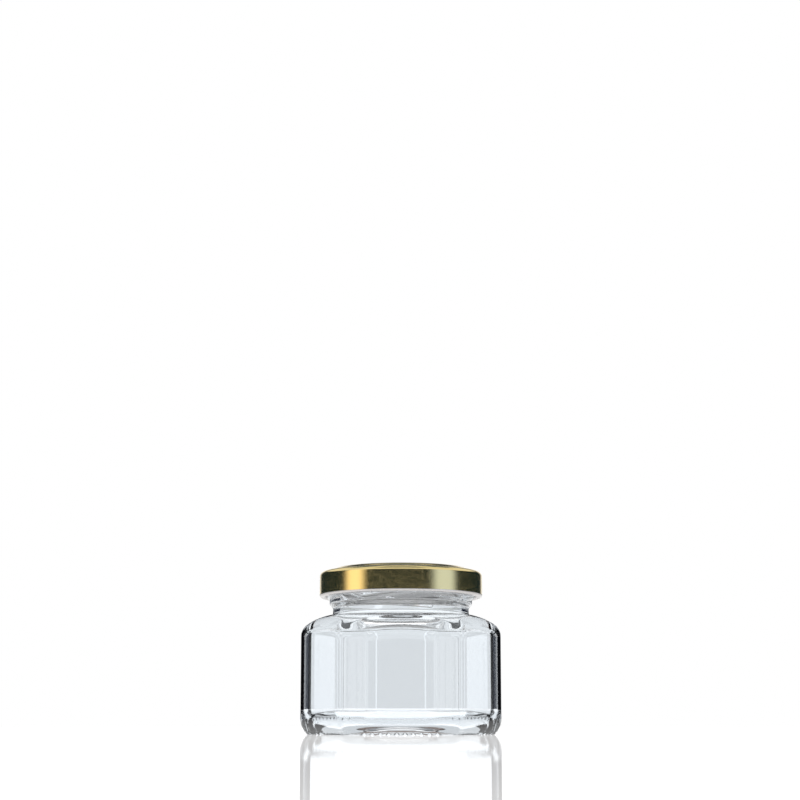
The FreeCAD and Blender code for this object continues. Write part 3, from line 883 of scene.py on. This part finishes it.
start_afresh()
bpy.ops.mesh.primitive_circle_add(vertices=96, radius=FLOOR_REACH, fill_type="NGON",
                                  location=(0, 0, -FLOOR_GAP))
floor = bpy.context.object
floor.name = "floor"
bpy.ops.object.transform_apply(location=True, rotation=True, scale=True)
gloss_white = bpy.data.materials.new("gloss_white_floor")
gloss_white.use_nodes = True
tree = gloss_white.node_tree
tree.nodes.clear()
path = add_node(tree, "ShaderNodeLightPath").outputs
toned = blend(WHITE, THROUGH_GLASS, path["Is Transmission Ray"])
matt = add_node(tree, "ShaderNodeBsdfDiffuse", Color=toned)
glow = add_node(tree, "ShaderNodeEmission", Color=toned, Strength=FLOOR_GLOW)
base = add_node(tree, "ShaderNodeAddShader", i0=matt.outputs[0], i1=glow.outputs[0])
mirror = add_node(tree, "ShaderNodeBsdfAnisotropic", Color=(*WHITE, 1.0), Roughness=0.03)
fresnel = add_node(tree, "ShaderNodeFresnel", IOR=1.45).outputs[0]
place = add_node(tree, "ShaderNodeTexCoord").outputs["Object"]
reach = add_node(tree, "ShaderNodeVectorMath", i0=place)
reach.operation = "LENGTH"
polish = add_node(tree, "ShaderNodeMapRange", Value=reach.outputs["Value"],
                  From_Min=GLOSS_ENDS, From_Max=GLOSS_FADES, To_Max=GLOSS)
mix = add_node(tree, "ShaderNodeMixShader", Fac=times(fresnel, polish.outputs["Result"]),
               i1=base.outputs[0], i2=mirror.outputs[0])
add_node(tree, "ShaderNodeOutputMaterial", Surface=mix.outputs[0])
floor.data.materials.append(gloss_white)
print(f"floor: {FLOOR_REACH:.0f} m around the jar, glossy for {GLOSS_FADES} m")

# %% [markdown]
# ## The light
# Clear glass shows what is around it, so the studio matters as much as the glass, and it is
# painted on the world by direction. The camera itself sees a white backdrop. Light that crossed
# the jar straight through its walls meets that backdrop too, a little toned by the glass, and
# brighter in a narrow strip beside the middle. Light that was mirrored inside the wall draws the
# dark lines along the corners: where it leaves almost level it meets the dark, and over the
# hollow of the base it meets a brownish tone. For the lid there is the white behind, a warm strip
# of light on the left, a broad cooler one on the right, a bright band half-way up, and a pale
# ceiling with two dark patches. The rest of the room is dark.

# %% Directions in the room, in degrees
world = bpy.data.worlds.new("studio")
bpy.context.scene.world = world
world.use_nodes = True
tree = world.node_tree
tree.nodes.clear()


def strip(value, middle, half, soft):
    """1 within half of the middle, falling to 0 over soft at both sides."""
    away = maths("ABSOLUTE", maths("SUBTRACT", value, middle))
    return ramp(away, half + soft, half)


facing = add_node(tree, "ShaderNodeTexCoord").outputs["Generated"]
across, along, up = add_node(tree, "ShaderNodeSeparateXYZ", Vector=facing).outputs
bearing = maths("DEGREES", maths("ARCTAN2", across, times(along, -1.0)))   # 0 is the front
aside = maths("ABSOLUTE", bearing)                                         # 180 is behind
height = maths("DEGREES", maths("ARCSINE", up))

# %% What the lid mirrors
ROOM_DARK = (0.010, 0.022, 0.030)
WARM, WARM_STRENGTH = (1.0, 0.86, 0.66), 1.35
COOL, COOL_STRENGTH = (0.72, 0.90, 1.3), 0.95
BAND = (0.85, 0.88, 0.92)
CEILING = (0.75, 0.78, 0.82)
DARK_TEAL = (0.03, 0.09, 0.16)

warm = tint(WARM, times(strip(bearing, middle=-68.0, half=6.0, soft=16.0), WARM_STRENGTH))
cool = tint(COOL, times(strip(bearing, middle=64.0, half=8.0, soft=18.0), COOL_STRENGTH))
strips = add_light(add_light(warm, cool), ROOM_DARK)
back = times(ramp(aside, 150.0, 165.0), ramp(height, 32.0, 20.0))
metal_room = blend(strips, WHITE, back)
band = times(strip(height, middle=38.0, half=12.0, soft=6.0), ramp(aside, 160.0, 140.0))
metal_room = blend(metal_room, BAND, band)
metal_room = blend(metal_room, CEILING, ramp(height, 44.0, 50.0))
back_patch = times(strip(height, middle=61.0, half=6.0, soft=5.0), ramp(aside, 100.0, 120.0))
metal_room = blend(metal_room, DARK_TEAL, back_patch)
front_patch = times(times(ramp(height, 50.0, 56.0), ramp(aside, 60.0, 40.0)),
                    ramp(height, 80.0, 72.0))
metal_room = blend(metal_room, DARK_TEAL, front_patch)

# %% What the outer face of the glass mirrors
GLASS_DARK = (0.02, 0.02, 0.026)
GLASS_STRIP = (0.20, 0.21, 0.23)

glass_room = blend(GLASS_DARK, GLASS_STRIP, strip(aside, middle=114.0, half=10.0, soft=1.5))

# %% What is seen through the glass
BESIDE_MIDDLE = (1.02, 1.09, 1.15)
EDGE_DARK, EDGE_GLINT = (0.003, 0.007, 0.020), (0.30, 0.32, 0.34)
GLINT_RATE, GLINT_NARROW = 0.045, 30.0   # narrow glints, spread over the bearing
FRONT_DARK, SIDE_LIGHT = (0.10, 0.11, 0.12), (1.15, 1.2, 1.25)
HOLLOW_BROWN = (0.20, 0.155, 0.14)
MIRRORED_FROM = 1.5       # turns over passages: 1 for light straight through, 2 once mirrored
IN_THE_WALL_UNDER = 3.5   # passages: light that crossed both walls of the jar has 4

path = add_node(tree, "ShaderNodeLightPath").outputs
other_turns = maths("SUBTRACT", path["Ray Depth"], path["Transmission Depth"])
mirrored = maths("GREATER_THAN", other_turns, MIRRORED_FROM)
in_the_wall = maths("LESS_THAN", path["Transmission Depth"], IN_THE_WALL_UNDER)
beside = strip(maths("SUBTRACT", 180.0, aside), middle=2.75, half=0.35, soft=0.45)
backdrop = blend(THROUGH_GLASS, BESIDE_MIDDLE, beside)
waves = maths("ABSOLUTE", maths("SINE", times(bearing, GLINT_RATE)))
edge = blend(EDGE_DARK, EDGE_GLINT, maths("POWER", waves, GLINT_NARROW))
wall_light = blend(backdrop, edge, strip(height, middle=2.0, half=3.5, soft=2.5))
over_the_hollow = times(ramp(aside, 155.0, 168.0), strip(height, middle=14.0, half=4.0, soft=3.0))
wall_light = blend(wall_light, HOLLOW_BROWN, over_the_hollow)
across_the_jar = blend(FRONT_DARK, SIDE_LIGHT, ramp(aside, 60.0, 90.0))
through_glass = blend(backdrop, blend(across_the_jar, wall_light, in_the_wall), mirrored)

# %% Which kind of ray meets which
PLAIN_ROOM = (0.62, 0.62, 0.62)   # the light that falls on matt surfaces

reflected = blend(metal_room, glass_room, path["Is Singular Ray"])
seen = blend(PLAIN_ROOM, reflected, path["Is Glossy Ray"])
seen = blend(seen, through_glass, path["Is Transmission Ray"])
seen = blend(seen, WHITE, path["Is Camera Ray"])
sky = add_node(tree, "ShaderNodeBackground", Color=seen, Strength=1.0)
add_node(tree, "ShaderNodeOutputWorld", Surface=sky.outputs[0])
print(f"studio: {len(tree.nodes)} nodes")

# %% [markdown]
# ## The camera
# The camera stands half a metre away, just above the level of the foot, and looks up by almost
# nine degrees, so that the jar stands low in the picture. A small upward shift of the lens adds
# to that without making the upright edges lean more.

# %% Set the camera
DISTANCE = 0.5507
EYE = 2.7 * MM
OFF_CENTRE = -0.3 * MM
TILT = math.radians(8.76)

bpy.ops.object.camera_add(location=(OFF_CENTRE, -DISTANCE, EYE),
                          rotation=(math.radians(90) + TILT, 0, 0))
camera = bpy.context.object
camera.data.lens = 72.0
camera.data.sensor_width = 36.0
camera.data.shift_y = 0.10
camera.data.clip_start = 0.01
bpy.context.scene.camera = camera
print(f"camera: {DISTANCE:.2f} m away, looking up by {math.degrees(TILT):.1f} degrees")

# %% [markdown]
# ## The lamp
# One soft round lamp overhead lays the jar's shadow on the floor. The lid would mirror it as a
# hard disc, so it is hidden from mirrored rays. The Standard view keeps the whites white.

# %% A soft lamp overhead
bpy.ops.object.light_add(type="AREA", location=(-0.15, -0.1, 0.7))
lamp = bpy.context.object
lamp.data.shape = "DISK"
lamp.data.size = 0.5
lamp.data.energy = 1.2
lamp.visible_glossy = False
lamp.rotation_euler = (math.radians(-8), math.radians(-12), 0)
bpy.context.scene.view_settings.view_transform = "Standard"
print(f"lamp: {lamp.data.size} m across, {lamp.data.energy:.1f} W")
